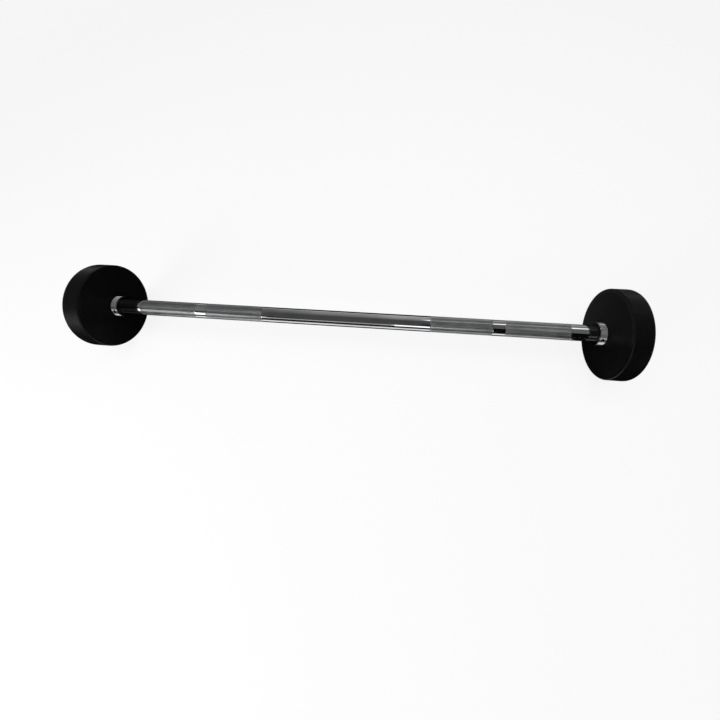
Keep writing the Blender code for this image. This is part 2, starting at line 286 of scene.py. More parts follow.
corners = [(-FLOOR_HALF, -FLOOR_HALF), (FLOOR_HALF, -FLOOR_HALF)]
corners += [(FLOOR_HALF, FLOOR_HALF), (-FLOOR_HALF, FLOOR_HALF)]
floor_mesh = bpy.data.meshes.new("studio_floor")
floor_mesh.from_pydata([(x, y, FLOOR_LEVEL) for x, y in corners], [], [(0, 1, 2, 3)])
floor_mesh.materials.append(paint.material)
floor = bpy.data.objects.new("studio_floor", floor_mesh)
bpy.context.scene.collection.objects.link(floor)
floor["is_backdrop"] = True
print("floor at", round(1000 * FLOOR_LEVEL, 1), "mm")

# %% [markdown]
# ## Room
#
# Chrome has no colour of its own: it shows the room. One even grey all round would make it look
# like plastic, so this room is dark, and its greys are placed. The far side is lighter, in four
# steps from left to right, and each step gives one stretch of the handle its grey. A faint glow
# hangs overhead on the left, and another grows to the right. The camera sees a white backdrop
# instead, and so does a mirror or a glass that looks at the horizon or below it.

# %% Room
ROOM_DARK = (0.075, 0.075, 0.075)
ROOM_LIGHT = (0.42, 0.42, 0.42)
HORIZON_TOP = 0.10
FAR_SIDE = (0.15, 0.80)
FAR_LEFTMOST = 0.2
FAR_STEPS = [(-0.42, -0.27, 0.4), (-0.14, -0.06, 0.4), (-0.02, 0.20, -0.7), (0.46, 0.56, 0.7)]
OVERHEAD = (-0.45, -0.20)
OVERHEAD_LEFT = (-0.40, -0.52)
OVERHEAD_GLOW = 0.39
RIGHT_SIDE = (0.05, 0.60)
RIGHT_GLOW = 0.26

room = bpy.data.worlds.new("studio_room")
room.use_nodes = True
bpy.context.scene.world = room
sky = Finish("studio_room", tree=room.node_tree)
side, depth, height = sky.split(sky.add("ShaderNodeTexCoord", output="Generated"))
far = depth.within(*FAR_SIDE)
far_level = FAR_LEFTMOST
for start, end, change in FAR_STEPS:
    far_level = far_level + side.within(start, end) * change
overhead = depth.within(*OVERHEAD) * (1.0 - far) * side.within(*OVERHEAD_LEFT)
glow = overhead * OVERHEAD_GLOW + side.within(*RIGHT_SIDE) * RIGHT_GLOW
lit = (far * far_level + glow).within(0.0, 1.0)
wall = sky.mix(lit, ROOM_DARK, ROOM_LIGHT)
dim = sky.add("ShaderNodeBackground", values={"Color": wall})
backdrop = sky.add("ShaderNodeBackground", values={"Color": WHITE})
seen, mirrored, passed = sky.ray_kinds()
share = (seen + (mirrored + passed) * height.within(HORIZON_TOP, 0.0)).within(0.0, 1.0)
mixed = sky.add("ShaderNodeMixShader", values={0: share, 1: dim, 2: backdrop})
sky.tree.links.new(mixed.socket, sky.tree.nodes["World Output"].inputs["Surface"])
print("room greys:", ROOM_DARK[0], "to", ROOM_LIGHT[0])

# %% [markdown]
# ## Lamps
#
# Soft boxes make the streaks on the handle and the glints on the collars, and large boxes close by
# make soft shadows. The chrome mirrors four of them: one high on the far right, a large one low on
# the near left, and a stronger and a weaker one low in front of the handle. The two that light the
# rubber and the floor, one overhead and one on the near left, are hidden from mirrors, because
# their size would fill the dark bands between the streaks. All are kept out of the camera's
# sight, because boxes this large would stand in the picture from some sides.

# %% Lamps
ORIGIN = (0.0, 0.0, 0.0)
ALONG_HANDLE = (1.0, 0.0, 0.0)
UPRIGHT = (0.0, 0.0, 1.0)


def soft_lamp(name, place, aim, long_side, length, width, watts):
    """A soft box at a place, facing a point, with its long side along a direction."""
    box = bpy.data.lights.new(name, "AREA")
    box.shape = "RECTANGLE"
    box.size = length
    box.size_y = width
    box.energy = watts
    back = (Vector(place) - Vector(aim)).normalized()
    up = back.cross(Vector(long_side)).normalized()
    turn = Matrix((up.cross(back), up, back)).transposed()
    lamp = bpy.data.objects.new(name, box)
    lamp.matrix_world = Matrix.Translation(place) @ turn.to_4x4()
    lamp.visible_camera = False
    bpy.context.scene.collection.objects.link(lamp)
    print("lamp:", name, watts, "W")
    return lamp


soft_lamp(
    "far_right_lamp",
    place=(0.55, 0.57, 0.82),
    aim=(0.28, 0.0, 0.0),
    long_side=(0.98, 0.17, -0.12),
    length=0.76,
    width=0.20,
    watts=0.68,
)
near_lamp = soft_lamp(
    "near_left_lamp",
    place=(-1.13, -0.98, 0.45),
    aim=(-0.30, 0.0, 0.0),
    long_side=UPRIGHT,
    length=0.60,
    width=0.86,
    watts=3.5,
)
soft_lamp(
    "near_middle_lamp",
    place=(0.27, -1.20, 0.44),
    aim=(0.27, 0.0, 0.0),
    long_side=ALONG_HANDLE,
    length=0.48,
    width=0.40,
    watts=1.15,
)
soft_lamp(
    "near_dim_lamp",
    place=(-0.36, -1.20, 0.49),
    aim=(-0.36, 0.0, 0.0),
    long_side=ALONG_HANDLE,
    length=0.78,
    width=0.28,
    watts=0.28,
)

# %% Lamps that mirrors don't see
top_lamp = soft_lamp(
    "top_lamp",
    place=(0.0, 0.1, 1.6),
    aim=ORIGIN,
    long_side=ALONG_HANDLE,
    length=1.8,
    width=1.0,
    watts=17.0,
)
fill_lamp = soft_lamp(
    "near_left_fill",
    place=(-0.90, -1.00, 0.45),
    aim=(0.20, 0.0, 0.0),
    long_side=UPRIGHT,
    length=0.8,
    width=0.8,
    watts=12.0,
)
for lamp in (top_lamp, fill_lamp):
    lamp.visible_glossy = False
print("hidden from mirrors:", top_lamp.name, fill_lamp.name)

# %% [markdown]
# ## Cards
#
# A studio sets black cards round chrome, because a white table would turn it all white. Here cards
# cover the floor round one open window in front of the handle, and the white floor in that window
# makes the thin bright line along the handle's lower edge. The card under the handle and the two
# beside the heads are painted shadow: they lie where the barbell's shade falls on the floor, which
# mirrors see as plain white. One card behind the handle, on the right, is grey, since the handle
# is lighter there. Three more stand upright and keep the bands beside the streaks dark: a low one
# along the near edge, a tall one on the near right, and one behind the near left lamp. Only
# mirror-like surfaces see the cards, so they cast no shadow.

# %% Card helpers
CARD_LIFT = 0.0005


def card(name, corners, colour):
    """A card of one flat colour that only mirror-like surfaces see."""
    card_mesh = bpy.data.meshes.new(name)
    card_mesh.from_pydata(corners, [], [(0, 1, 2, 3)])
    card_mesh.materials.append(colour.material)
    sheet = bpy.data.objects.new(name, card_mesh)
    bpy.context.scene.collection.objects.link(sheet)
    sheet.visible_camera = False
    sheet.visible_diffuse = False
    sheet.visible_shadow = False
    sheet.visible_transmission = False
    sheet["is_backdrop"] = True
    print("card:", name)


def lying(left, right, near, far):
    """Corners of a card that lies on the floor."""
    level = FLOOR_LEVEL + CARD_LIFT
    return [(left, near, level), (right, near, level), (right, far, level), (left, far, level)]


def standing(depth, bottom, top, bottom_edge, top_edge):
    """Corners of an upright card at this depth. An edge is where it starts and ends along X."""
    low = [(x, depth, bottom) for x in bottom_edge]
    high = [(x, depth, top) for x in reversed(top_edge)]
    return low + high


def frame_behind(lamp, length, width, gap):
    """Corners of a card that stands this far behind a lamp and reaches past its edges."""
    sides = ((-1, -1), (1, -1), (1, 1), (-1, 1))
    return [lamp.matrix_world @ Vector((a * length / 2, b * width / 2, gap)) for a, b in sides]


print("card helpers ready")

# %% Cards
CARDS_END = 1.2
CARDS_NEAR = -1.30
CARDS_FAR = 2.4
WINDOW_HALF = 0.44
WINDOW_NEAR = -0.26
WINDOW_FAR = -0.08
STRIP_FAR = 0.04
GREY_START = 0.25
WALL_BOTTOM = -0.07
WALL_TOP = 0.24

dark = Finish("dark_card", Base_Color=(0.006, 0.006, 0.006, 1.0), Specular_IOR_Level=0.0)
grey = Finish("grey_card", Base_Color=(0.2, 0.2, 0.2, 1.0), Specular_IOR_Level=0.0)
full_width = (-CARDS_END, CARDS_END)
near_wall = standing(CARDS_NEAR, WALL_BOTTOM, WALL_TOP, full_width, full_width)
near_right = standing(
    depth=-1.25, bottom=WALL_BOTTOM, top=2.2, bottom_edge=(0.27, 2.6), top_edge=(0.20, 3.2)
)
left_frame = frame_behind(near_lamp, length=1.15, width=0.92, gap=0.03)

card("near_floor_card", lying(-CARDS_END, CARDS_END, CARDS_NEAR, WINDOW_NEAR), dark)
# Painted shadow: this card stands for the handle's shadow on the floor, which mirrors would see as
# plain white.
card("shadow_card_under_handle", lying(-CARDS_END, CARDS_END, WINDOW_FAR, STRIP_FAR), dark)
card("far_left_floor_card", lying(-CARDS_END, GREY_START, STRIP_FAR, CARDS_FAR), dark)
card("far_right_floor_card", lying(GREY_START, CARDS_END, STRIP_FAR, CARDS_FAR), grey)
# Painted shadow: these two stand for the shade on the floor beside the heads.
card("right_floor_card", lying(WINDOW_HALF, CARDS_END, WINDOW_NEAR, WINDOW_FAR), dark)
card("left_floor_card", lying(-CARDS_END, -WINDOW_HALF, WINDOW_NEAR, WINDOW_FAR), dark)
card("near_wall_card", near_wall, dark)
card("near_right_card", near_right, dark)
card("near_left_frame", left_frame, dark)

# %% [markdown]
# ## Chrome
#
# Chrome plate is a mirror over whatever lies beneath it, so its character is in small faults: the
# fine rings left by polishing the bar as it turns, and a film of handling that dulls it in
# patches. The plain bar keeps its rings almost invisible. The knurl holds grime between its
# points, and its grooves carry painted shade as well, for the shade that falls between the points,
# so they are darker and duller than the points. The collar was turned in a lathe, so its lines
# run in circles. The end faces and the bore of the collar are coloured nearly black, with greyer
# patches.

# %% Plain chrome
CHROME = (0.70, 0.71, 0.72)
CHROME_WORN = (0.59, 0.60, 0.61)
RINGS_ONLY = (1.0, 0.01, 0.01)


def bright_chrome(name):
    """Polished chrome with faint polishing rings and a film of handling."""
    finish = Finish(name, Metallic=1.0)
    film = finish.noise(size=0.035, detail=5.0).within(0.45, 0.75)
    rings = finish.noise(size=0.00035, stretch=RINGS_ONLY, detail=2.0)
    specks = finish.noise(size=0.0006, detail=1.0).within(0.72, 0.80)
    colour = finish.mix(film, CHROME, CHROME_WORN)
    dullness = 0.04 + film * 0.05 + rings * 0.03 + specks * 0.05
    tilt = finish.bump(rings, metres=2e-7)
    return finish.wear(Base_Color=colour, Roughness=dullness, Normal=tilt)


plain_chrome = bright_chrome("chrome_plain")
print("made", plain_chrome.name)

# %% Knurled chrome
HANDLE_RADIUS = 0.014
GROOVE_RADIUS = HANDLE_RADIUS - 0.00016
CLEAN_TOP = 0.00003
# Colour of the grooves: grime together with painted shade.
GROOVE_GRIME_AND_SHADE = (0.12, 0.12, 0.12)


def knurled_chrome(name):
    """Chrome over knurling: bright points, grooves dark and dull with grime and painted shade."""
    finish = Finish(name, Metallic=1.0)
    _, out = finish.along_and_out()
    depth = out.within(GRIP_RADIUS - CLEAN_TOP, GROOVE_RADIUS)
    patches = finish.noise(size=0.02, detail=4.0).within(0.30, 0.70)
    grit = finish.noise(size=0.0003, detail=2.0)
    # Painted shade: the grooves are darkened towards this colour for the shade between the points,
    # as well as for grime.
    colour = finish.mix(depth * (0.45 + patches * 0.35), CHROME, GROOVE_GRIME_AND_SHADE)
    dullness = 0.15 + depth * 0.32 + grit * 0.06
    tilt = finish.bump(grit, metres=4e-6)
    return finish.wear(Base_Color=colour, Roughness=dullness, Normal=tilt)


grip_chrome = knurled_chrome("chrome_knurled")
print("made", grip_chrome.name)

# %% Collar chrome
END_FACE_BLACK = (0.020, 0.020, 0.021)
END_FACE_GREY = (0.06, 0.06, 0.06)


def turned_chrome(name):
    """Chrome over a lathe-turned face, its lines running round the ring."""
    finish = Finish(name, Metallic=0.90)
    along, out = finish.along_and_out()
    spot = finish.add("ShaderNodeCombineXYZ", values={0: along, 1: out})
    lines = finish.noise(size=0.00025, detail=2.0, vector=spot)
    film = finish.noise(size=0.008, detail=4.0).within(0.45, 0.75)
    colour = finish.mix(film, CHROME, CHROME_WORN)
    dullness = 0.08 + lines * 0.05 + film * 0.04
    tilt = finish.bump(lines, metres=1.5e-6)
    return finish.wear(Base_Color=colour, Roughness=dullness, Normal=tilt)


def dark_end_chrome(name):
    """Nearly black chrome, with greyer patches, for the end faces and bore of a collar."""
    finish = Finish(name, Metallic=1.0)
    thin = finish.noise(size=0.003, detail=4.0).within(0.60, 0.85)
    # The end faces and bore are made nearly black here, with greyer patches.
    colour = finish.mix(thin, END_FACE_BLACK, END_FACE_GREY)
    return finish.wear(Base_Color=colour, Roughness=0.42 - thin * 0.10)


collar_chrome = turned_chrome("chrome_collar")
collar_end_chrome = dark_end_chrome("chrome_dark_ends")
print("made", collar_chrome.name, "and", collar_end_chrome.name)

# %% [markdown]
# ## Rubber and plastic
#
# The heads are iron discs with black rubber moulded round them. Moulded rubber is matt with a fine
# grain, slightly wavy where it shrank as it cooled, and never quite clean. The rims get knocked, so
# a band along each is rubbed smoother, and a thin coat on that band gives the soft light there.
# The end cap is a harder black plastic with a finer, more even grain, so it catches the light a
# little more sharply than the rubber round it.

# %% Rubber
RUBBER = (0.0032, 0.0032, 0.0033)
RUBBER_DUST = (0.0056, 0.0055, 0.0052)
RUB_FADES_IN = (HEAD_RADIUS - 0.008, HEAD_RADIUS - 0.004)
RUB_FADES_OUT = (HEAD_RADIUS - 0.00005, HEAD_RADIUS - 0.001)


def moulded_rubber(name):
    """Matt black rubber: grain, shrinkage waves, rubbed rims and a little dust."""
    finish = Finish(name, Specular_IOR_Level=0.10, Coat_Roughness=0.28)
    _, out = finish.along_and_out()
    grain = finish.noise(size=0.0005, detail=3.0)
    waves = finish.noise(size=0.03, detail=2.0)
    dust = finish.noise(size=0.012, detail=6.0).within(0.50, 0.85)
    rubbed = out.within(*RUB_FADES_IN) * out.within(*RUB_FADES_OUT)
    scuffs = finish.noise(size=0.004, detail=4.0).within(0.50, 0.62) * rubbed
    colour = finish.mix(dust * 0.6 + scuffs * 0.3, RUBBER, RUBBER_DUST)
    dullness = 0.31 + dust * 0.08 + waves * 0.06 - rubbed * 0.10
    polish = rubbed * 0.22
    skin = finish.bump(grain, metres=1.2e-5, below=finish.bump(waves, metres=1.0e-4))
    return finish.wear(Base_Color=colour, Roughness=dullness, Coat_Weight=polish, Normal=skin)


jacket_rubber = moulded_rubber("rubber_moulded")
print("made", jacket_rubber.name)

# %% Plastic
PLASTIC = (0.006, 0.006, 0.0065)
PLASTIC_SCRATCHED = (0.018, 0.018, 0.018)
SCRATCHES_UPRIGHT = (1.0, 1.0, 0.06)


def moulded_plastic(name):
    """Hard black plastic with a fine even grain and a few light scratches."""
    finish = Finish(name, Specular_IOR_Level=0.35)
    grain = finish.noise(size=0.00025, detail=2.0)
    scratches = finish.noise(size=0.0012, stretch=SCRATCHES_UPRIGHT, detail=2.0).within(0.66, 0.72)
    colour = finish.mix(scratches, PLASTIC, PLASTIC_SCRATCHED)
    dullness = 0.34 + grain * 0.10 + scratches * 0.12
    tilt = finish.bump(grain, metres=6e-6)
    return finish.wear(Base_Color=colour, Roughness=dullness, Normal=tilt)


cap_plastic = moulded_plastic("plastic_cap")
print("made", cap_plastic.name)

# %% [markdown]
# ## Steel and iron inside the heads
#
# Most of these pieces are sealed in, and only the little set screws show. They still get their real
# finishes, so that a head pulled apart on screen looks right: zinc plate with its faint clouds,
# black oxide that wears to bare steel, and rough sand-cast iron.

# %% Finishes of the inner pieces
def zinc_plate(name):
    """Zinc plate, clouded from bluish to yellowish grey."""
    finish = Finish(name, Metallic=1.0)
    clouds = finish.noise(size=0.004, detail=5.0)
    colour = finish.mix(clouds.within(0.35, 0.65), (0.42, 0.44, 0.47), (0.50, 0.49, 0.44))
    return finish.wear(Base_Color=colour, Roughness=0.28 + clouds * 0.22)


def black_oxide(name):
    """Blackened steel, worn to a lighter grey in patches."""
    finish = Finish(name, Metallic=1.0)
    worn = finish.noise(size=0.0012, detail=5.0).within(0.55, 0.75)
    colour = finish.mix(worn, (0.030, 0.030, 0.033), (0.11, 0.11, 0.11))
    return finish.wear(Base_Color=colour, Roughness=0.46 - worn * 0.12)


def sand_cast_iron(name):
    """Rough iron with the grain of its sand mould and a few brown stains."""
    finish = Finish(name, Metallic=0.6)
    sand = finish.noise(size=0.0009, detail=4.0)
    stains = finish.noise(size=0.012, detail=5.0).within(0.45, 0.70)
    colour = finish.mix(stains, (0.085, 0.085, 0.088), (0.075, 0.058, 0.045))
    tilt = finish.bump(sand, metres=8e-5)
    return finish.wear(Base_Color=colour, Roughness=0.62 + sand * 0.20, Normal=tilt)


zinc = zinc_plate("zinc_plate")
oxide = black_oxide("black_oxide")
iron = sand_cast_iron("sand_cast_iron")
print("made", zinc.name, "and", oxide.name, "and", iron.name)

# %% Finishing the inner pieces
BOTH_ENDS = ((-1, "left"), (1, "right"))
inner_finishes = {
    "collar_set_screw": oxide,
    "hub_bush": zinc,
    "iron_core": iron,
    "shaft_key": zinc,
    "retaining_washer": zinc,
    "spring_washer": zinc,
    "end_bolt": oxide,
}
for piece, material in inner_finishes.items():
    for _, word in BOTH_ENDS:
        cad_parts[f"{piece}_{word}"].material_slots[0].material = material
print("inner pieces finished:", 2 * len(inner_finishes))

# %% [markdown]
# ## Turned pieces
#
# Nearly everything on a barbell comes off a lathe or out of a round mould, so one helper does most
# of the modelling. You give it an outline, as distances along the handle and radii, and it sweeps
# that outline round the middle line. A second helper rounds the corners of an outline, because no
# real edge is perfectly sharp and the light along a rounded edge is what makes it look made.

# %% Rounding an outline
STRAIGHT_DEGREES = 179.0
LONGEST_REACH = 0.45
SUPPORT_OF_REACH = 0.1
SUPPORT_OF_SIDE = 0.04


def rounded(outline, steps=4):
    """The outline with each corner that carries a radius replaced by a small arc.

    A corner is (along, out) or (along, out, radius). One more point on each side of an arc
    keeps the soft shading of the arc out of the flats beside it."""
    points = []
    for number, (along, out, *radius) in enumerate(outline):
        here = Vector((along, out))
        before = Vector(outline[number - 1][:2]) - here
        after = Vector(outline[(number + 1) % len(outline)][:2]) - here
        bend = before.angle(after)
        if not any(radius) or bend > math.radians(STRAIGHT_DEGREES):
            points.append(tuple(here))
            continue
        room_beside = LONGEST_REACH * min(before.length, after.length)
        reach = min(radius[0] / math.tan(bend / 2), room_beside)
        start = here + reach * before.normalized()
        end = here + reach * after.normalized()
        support = min(SUPPORT_OF_REACH * reach, SUPPORT_OF_SIDE * before.length)
        points.append(tuple(start + support * before.normalized()))
        for step in range(steps + 1):
            share = step / steps
            bow = (1 - share) ** 2 * start + 2 * share * (1 - share) * here + share**2 * end
            points.append(tuple(bow))
        support = min(SUPPORT_OF_REACH * reach, SUPPORT_OF_SIDE * after.length)
        points.append(tuple(end + support * after.normalized()))
    return points


print("rounding ready")

# %% Sweeping an outline
def ring_points(along, radius, sides):
    """One ring of points round the middle line, the first one straight up."""
    turns = [math.tau * number / sides for number in range(sides)]
    return [(along, radius * math.sin(turn), radius * math.cos(turn)) for turn in turns]


def swept(outline, sides, closed=True):
    """Sweeps an outline round the middle line into points and faces.

    A closed outline makes a ring. An open one starts and ends on the middle line."""
    points, faces, rings = [], [], []
    for along, radius in outline:
        ring = ring_points(along, radius, sides) if radius > 0 else [(along, 0.0, 0.0)]
        rings.append(range(len(points), len(points) + len(ring)))
        points += ring
    pairs = list(zip(rings, rings[1:])) + ([(rings[-1], rings[0])] if closed else [])
    for ring, following in pairs:
        for side in range(sides):
            after = (side + 1) % sides
            face = [ring[side % len(ring)], ring[after % len(ring)]]
            face += [following[after % len(following)], following[side % len(following)]]
            faces.append(list(dict.fromkeys(face)))
    return points, faces


print("sweeping ready")

# %% Making a piece
SHARP_FROM_DEGREES = 30.0


def solid_mesh(name, points, faces):
    """A mesh whose faces all look out of the solid."""
    mesh = bpy.data.meshes.new(name)
    mesh.from_pydata(points, [], faces)
    shape = bmesh.new()
    shape.from_mesh(mesh)
    bmesh.ops.recalc_face_normals(shape, faces=shape.faces)
    shape.to_mesh(mesh)
    shape.free()
    return mesh


def make_piece(name, points, faces, materials, node):
    """Turns points and faces into a piece that rides on the barbell in place of a node."""
    mesh = solid_mesh(name, points, faces)
    for material in materials:
        mesh.materials.append(material)
    mesh.shade_smooth()
    mesh.set_sharp_from_angle(angle=math.radians(SHARP_FROM_DEGREES))
    piece = bpy.data.objects.new(name, mesh)
    bpy.context.scene.collection.objects.link(piece)
    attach(piece, "root")
    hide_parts(node)
    return piece


print("piece maker ready")

# %% [markdown]
# ## The handle
#
# The handle is one steel bar. Its middle is plain, then come two knurled grips on each side with a
# plain mark band between them, then a plain end and the thinner spigot inside the head. The whole
# bar is laid out on rings of 96 points, so plain and knurled stretches join without a seam. A
# plain stretch gets one more ring just inside each of its ends, which keeps its shading straight.

# %% Stations along the handle
SIDES = 96
PLAIN_CENTRE = 0.1505
INNER_GRIP_END = 0.256
OUTER_GRIP_START = 0.277
OUTER_GRIP_END = 0.3835
HEAD_FACE, HEAD_END = ends_of("rubber_jacket_right")
SHOULDER = HEAD_FACE + 0.001
SPIGOT_END = ends_of("handle_bar")[1]
RUN_OUT = 0.0004
KEEP_STRAIGHT = 0.0003
print("handle length in mm:", round(2000 * SPIGOT_END, 1))

# %% Rings and strips
handle_points, handle_faces, knurled_faces = [], [], []


def lay_ring(ring):
    """Adds a ring of points and gives back their numbers."""
    first = len(handle_points)
    handle_points.extend(ring)
    return list(range(first, first + len(ring)))


def join_rings(ring, following):
    """Closes the strip between two rings with four-sided faces."""
    for side in range(SIDES):
        after = (side + 1) % SIDES
        handle_faces.append((ring[side], ring[after], following[after], following[side]))


def join_shapes(ring, shapes):
    """Carries the bar on through rings of these points and gives back the last ring."""
    for shape in shapes:
        following = lay_ring(shape)
        join_rings(ring, following)
        ring = following
    return ring


def plain_rings(stations):
    """Rings of the plain bar at these stations."""
    return [ring_points(along, HANDLE_RADIUS, SIDES) for along in stations]


print("sides of the bar:", SIDES)

# %% [markdown]
# ## The knurl
#
# The knurl is a field of small flat-topped diamonds, pressed in by two slanted wheels. A bump map
# could fake them, but chrome shows real facets far better, so here each diamond is modelled: four
# sloping sides and a flat top, about 12 500 in all. Its valleys lie on every second point of a
# ring, and the next ring takes the other points. No two tops are pressed quite alike, so each
# height is drawn at random, from a fixed seed that gives the same handle every time.

# %% Diamonds
DIAMOND_LENGTH = 0.0032
TOP_SHARE = 0.46
TOP_SCATTER = 0.00002
SEED = 28
scatter = np.random.default_rng(SEED)


def lay_valleys(start, pitch, half_rows):
    """Adds the lowest points of a grip, row by row. The two end rows also hold plain points."""
    rows = []
    for row in range(half_rows + 1):
        along = start + row * pitch
        low = ring_points(along, GROOVE_RADIUS, SIDES)
        if row in (0, half_rows):
            plain = ring_points(along, HANDLE_RADIUS, SIDES)
            rows.append(lay_ring([low[s] if s % 2 == row % 2 else plain[s] for s in range(SIDES)]))
        else:
            kept = range(row % 2, SIDES, 2)
            rows.append(dict(zip(kept, lay_ring([low[s] for s in kept]))))
    return rows


def lay_diamond(along, turn, pitch, valleys):
    """Adds one flat-topped diamond between its four valley points."""
    radius = GRIP_RADIUS - abs(scatter.normal()) * TOP_SCATTER
    half_length = TOP_SHARE * pitch
    half_turn = TOP_SHARE * math.tau / SIDES
    corners = [
        (along, turn - half_turn),
        (along - half_length, turn),
        (along, turn + half_turn),
        (along + half_length, turn),
    ]
    tops = lay_ring([(x, radius * math.sin(a), radius * math.cos(a)) for x, a in corners])
    handle_faces.append(tops)
    for corner in range(4):
        after = (corner + 1) % 4
        handle_faces.append((valleys[corner], valleys[after], tops[after], tops[corner]))


print("length of a flat top in mm:", round(1000 * TOP_SHARE * DIAMOND_LENGTH, 2))

# %% Knurled grips
def close_row(edge, inner):
    """Joins the end row of a grip to the row beside it, with two triangles for each valley."""
    for side, valley in inner.items():
        left, right = (side - 1) % SIDES, (side + 1) % SIDES
        handle_faces.append((edge[left], edge[side], valley))
        handle_faces.append((edge[side], edge[right], valley))


def lay_knurl(previous, start, end):
    """Lays diamonds from start to end and gives back the last ring of points."""
    half_rows = 2 * round((end - start) / DIAMOND_LENGTH)
    pitch = (end - start) / half_rows
    first_face = len(handle_faces)
    rows = lay_valleys(start, pitch, half_rows)
    join_rings(previous, rows[0])
    close_row(rows[0], rows[1])
    for row in range(1, half_rows):
        for side in range((row + 1) % 2, SIDES, 2):
            left, right = (side - 1) % SIDES, (side + 1) % SIDES
            valleys = (rows[row][left], rows[row - 1][side], rows[row][right], rows[row + 1][side])
            lay_diamond(start + row * pitch, math.tau * side / SIDES, pitch, valleys)
    close_row(rows[half_rows], rows[half_rows - 1])
    knurled_faces.extend(range(first_face, len(handle_faces)))
    return rows[half_rows]


print("diamonds along a grip:", round((INNER_GRIP_END - PLAIN_CENTRE) / DIAMOND_LENGTH))

# %% [markdown]
# ## The spigots
#
# Past its shoulder the bar is turned down to a spigot that carries the head. A slot is milled in
# its top for the key that stops the head from turning, and a hole is drilled and tapped in its end
# for the bolt. Nobody sees it in a whole barbell, but it is there when a head is pulled off. The
# slot is made by moving nine points of each ring down on to a flat floor.

# %% Spigot
SPIGOT_RADIUS = 0.011
SHOULDER_CHAMFER = 0.0005
SHOULDER_ROUND = 0.00015
KEYWAY_HALF_WIDTH = 0.0033
KEYWAY_FLOOR = 0.0072
KEYWAY_START = SHOULDER + 0.0017
KEYWAY_SLOPE = 0.0001
FLOOR_STEPS = 4
SPIGOT_CHAMFER = 0.0008
HOLE_RADIUS = 0.005
HOLE_BOTTOM = SPIGOT_END - 0.0215
DRILL_POINT = 0.003


def keyed_ring(along, radius):
    """A ring with the keyway cut in its top: nine points lie on the keyway's floor."""
    ring = ring_points(along, radius, SIDES)
    for number in range(-FLOOR_STEPS, FLOOR_STEPS + 1):
        ring[number] = (along, KEYWAY_HALF_WIDTH * number / FLOOR_STEPS, KEYWAY_FLOOR)
    wall_top = radius * math.cos(math.asin(KEYWAY_HALF_WIDTH / radius))
    ring[-FLOOR_STEPS - 1] = (along, -KEYWAY_HALF_WIDTH, wall_top)
    ring[FLOOR_STEPS + 1] = (along, KEYWAY_HALF_WIDTH, wall_top)
    return ring


chamfer_start = SHOULDER - SHOULDER_CHAMFER
spigot_rings = plain_rings([chamfer_start - KEEP_STRAIGHT, chamfer_start]) + [
    ring_points(SHOULDER - SHOULDER_ROUND, HANDLE_RADIUS - SHOULDER_ROUND, SIDES),
    ring_points(SHOULDER, HANDLE_RADIUS - SHOULDER_CHAMFER, SIDES),
    ring_points(SHOULDER, SPIGOT_RADIUS, SIDES),
    ring_points(KEYWAY_START - KEYWAY_SLOPE, SPIGOT_RADIUS, SIDES),
    keyed_ring(KEYWAY_START, SPIGOT_RADIUS),
    keyed_ring(SPIGOT_END - SPIGOT_CHAMFER, SPIGOT_RADIUS),
    keyed_ring(SPIGOT_END, SPIGOT_RADIUS - SPIGOT_CHAMFER),
    ring_points(SPIGOT_END, HOLE_RADIUS, SIDES),
    ring_points(HOLE_BOTTOM, HOLE_RADIUS, SIDES),
]
left_spigot_rings = [[(-x, y, z) for x, y, z in ring] for ring in reversed(spigot_rings)]
print("depth of the tapped hole in mm:", round(1000 * (SPIGOT_END - HOLE_BOTTOM), 1))

# %% Whole handle
right_grips = [(PLAIN_CENTRE, INNER_GRIP_END), (OUTER_GRIP_START, OUTER_GRIP_END)]
left_grips = [(-end, -start) for start, end in reversed(right_grips)]

left_bottom = lay_ring(left_spigot_rings[0])
ring = join_shapes(left_bottom, left_spigot_rings[1:])
for start, end in left_grips + right_grips:
    if start == PLAIN_CENTRE:
        ring = join_shapes(ring, plain_rings([0.0]))
    ring = join_shapes(ring, plain_rings([start - RUN_OUT - KEEP_STRAIGHT, start - RUN_OUT]))
    ring = lay_knurl(ring, start, end)
    ring = join_shapes(ring, plain_rings([end + RUN_OUT, end + RUN_OUT + KEEP_STRAIGHT]))
right_bottom = join_shapes(ring, spigot_rings)
tip_place = HOLE_BOTTOM - DRILL_POINT
for bottom, place in ((left_bottom, -tip_place), (right_bottom, tip_place)):
    tip = lay_ring([(place, 0.0, 0.0)])[0]
    for side in range(SIDES):
        handle_faces.append((bottom[side], bottom[(side + 1) % SIDES], tip))
handle = make_piece(
    "handle_turned_and_knurled",
    handle_points,
    handle_faces,
    [plain_chrome, grip_chrome],
    node="handle_bar",
)
finish_numbers = np.zeros(len(handle_faces), np.int32)
finish_numbers[knurled_faces] = 1
handle.data.polygons.foreach_set("material_index", finish_numbers)
print("handle faces:", len(handle_faces), "of them knurled:", len(knurled_faces))

# %% [markdown]
# ## Unrolling the handle
#
# A finish can later be baked into an image, and then every face needs a place of its own on that
# image. Left to itself, Blender would cut the knurl into thousands of scraps. A bar unrolls better
# with a plan of its own: cut it into eight bands, open each one flat, and stack them in two
# columns. The distance runs on over the end of the spigot and back into its tapped hole, so
# nothing lies on top of anything else.

# %% Distance and turn of every point
ON_AXIS = 1e-6

mesh = handle.data
spots = np.empty(3 * len(mesh.vertices))
mesh.vertices.foreach_get("co", spots)
x, y, z = spots.reshape(-1, 3).T
radius = np.hypot(y, z)
in_hole = radius < HOLE_RADIUS + ON_AXIS
travel = np.where(in_hole, 2 * SPIGOT_END - abs(x), abs(x)) + HANDLE_RADIUS - radius
turns = np.arctan2(y, z) / math.tau
print("longest travel in mm:", round(1000 * travel.max(), 1))

# %% Unrolled map
CUTS = [PLAIN_CENTRE - RUN_OUT, OUTER_GRIP_START - RUN_OUT, OUTER_GRIP_END + RUN_OUT]
BAND_EDGES = np.array([0.0, *CUTS, travel.max()])
COLUMNS = 2
BANDS = 4
BAND_SCALE = 3.1
BAND_MARGIN = 0.012
TURN_SCALE = 0.21

